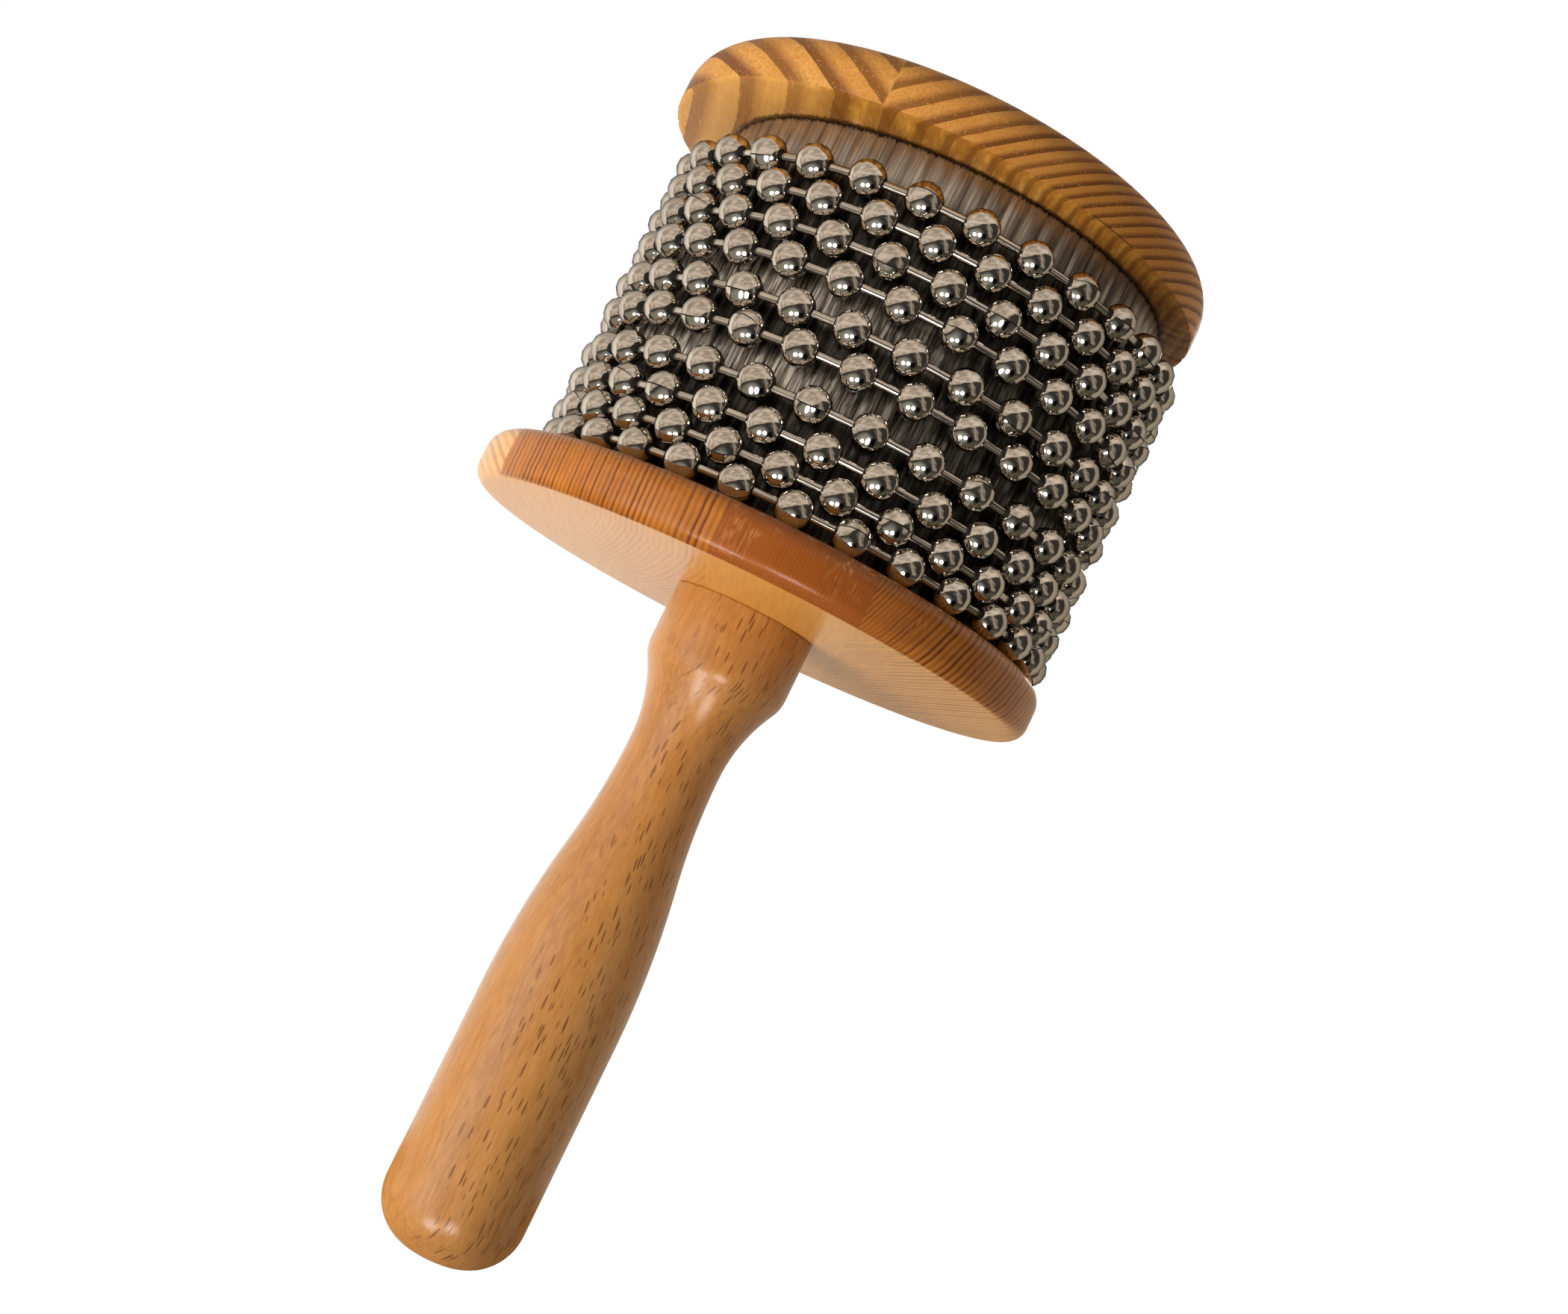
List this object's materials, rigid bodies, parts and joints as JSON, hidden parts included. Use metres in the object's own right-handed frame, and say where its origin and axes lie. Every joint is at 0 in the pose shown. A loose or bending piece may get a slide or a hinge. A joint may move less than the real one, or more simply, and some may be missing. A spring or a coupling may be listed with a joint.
{
  "type": "cabasa",
  "caption": "Hand cabasa with a turned wooden handle, wooden end discs and a fluted steel drum ringed by loops of steel ball chain that turn when the handle is twisted.",
  "frame": {"origin": "centre of the handle's straight grip, on the handle's axis", "axes": "+Z along the handle from the grip to the head, +X towards the side that the drum is set off to"},
  "size_m": [0.104, 0.104, 0.2039],
  "materials": {
    "beech": "satin varnish",
    "gloss_pine": "gloss varnish",
    "pine": "thin varnish",
    "core_wood": "bare",
    "fluted_steel": "satin",
    "screw_steel": "zinc plate",
    "nickel_balls": "polished nickel",
    "nickel_links": "polished nickel"
  },
  "bodies": {
    "frame": {"handle": "beech", "lower_disc": "gloss_pine", "core": "core_wood", "sleeve": "fluted_steel", "upper_disc": "pine", "centre_screw": "screw_steel"},
    "chain_01": {"chain_01_balls": "nickel_balls", "chain_01_links": "nickel_links"},
    "chain_02": {"chain_02_balls": "nickel_balls", "chain_02_links": "nickel_links"},
    "chain_03": {"chain_03_balls": "nickel_balls", "chain_03_links": "nickel_links"},
    "chain_04": {"chain_04_balls": "nickel_balls", "chain_04_links": "nickel_links"},
    "chain_05": {"chain_05_balls": "nickel_balls", "chain_05_links": "nickel_links"},
    "chain_06": {"chain_06_balls": "nickel_balls", "chain_06_links": "nickel_links"},
    "chain_07": {"chain_07_balls": "nickel_balls", "chain_07_links": "nickel_links"},
    "chain_08": {"chain_08_balls": "nickel_balls", "chain_08_links": "nickel_links"},
    "chain_09": {"chain_09_balls": "nickel_balls", "chain_09_links": "nickel_links"},
    "chain_10": {"chain_10_balls": "nickel_balls", "chain_10_links": "nickel_links"}
  },
  "joints": [
    {"name": "chain_01_spin", "type": "hinge", "parent": "frame", "child": "chain_01", "pos_m": [0.003, 0, 0.1052], "axis": [0, 0, 1], "continuous": true},
    {"name": "chain_02_spin", "type": "hinge", "parent": "frame", "child": "chain_02", "pos_m": [0.003, 0, 0.1098], "axis": [0, 0, 1], "continuous": true},
    {"name": "chain_03_spin", "type": "hinge", "parent": "frame", "child": "chain_03", "pos_m": [0.003, 0, 0.1151], "axis": [0, 0, 1], "continuous": true},
    {"name": "chain_04_spin", "type": "hinge", "parent": "frame", "child": "chain_04", "pos_m": [0.003, 0, 0.1209], "axis": [0, 0, 1], "continuous": true},
    {"name": "chain_05_spin", "type": "hinge", "parent": "frame", "child": "chain_05", "pos_m": [0.003, 0, 0.1284], "axis": [0, 0, 1], "continuous": true},
    {"name": "chain_06_spin", "type": "hinge", "parent": "frame", "child": "chain_06", "pos_m": [0.003, 0, 0.1342], "axis": [0, 0, 1], "continuous": true},
    {"name": "chain_07_spin", "type": "hinge", "parent": "frame", "child": "chain_07", "pos_m": [0.003, 0, 0.141], "axis": [0, 0, 1], "continuous": true},
    {"name": "chain_08_spin", "type": "hinge", "parent": "frame", "child": "chain_08", "pos_m": [0.003, 0, 0.1465], "axis": [0, 0, 1], "continuous": true},
    {"name": "chain_09_spin", "type": "hinge", "parent": "frame", "child": "chain_09", "pos_m": [0.003, 0, 0.152], "axis": [0, 0, 1], "continuous": true},
    {"name": "chain_10_spin", "type": "hinge", "parent": "frame", "child": "chain_10", "pos_m": [0.003, 0, 0.1573], "axis": [0, 0, 1], "continuous": true}
  ],
  "couplings": [
    {"joint": "chain_02_spin", "follows": "chain_01_spin", "ratio": 1},
    {"joint": "chain_03_spin", "follows": "chain_01_spin", "ratio": 1},
    {"joint": "chain_04_spin", "follows": "chain_01_spin", "ratio": 1},
    {"joint": "chain_05_spin", "follows": "chain_01_spin", "ratio": 1},
    {"joint": "chain_06_spin", "follows": "chain_01_spin", "ratio": 1},
    {"joint": "chain_07_spin", "follows": "chain_01_spin", "ratio": 1},
    {"joint": "chain_08_spin", "follows": "chain_01_spin", "ratio": 1},
    {"joint": "chain_09_spin", "follows": "chain_01_spin", "ratio": 1},
    {"joint": "chain_10_spin", "follows": "chain_01_spin", "ratio": 1}
  ]
}
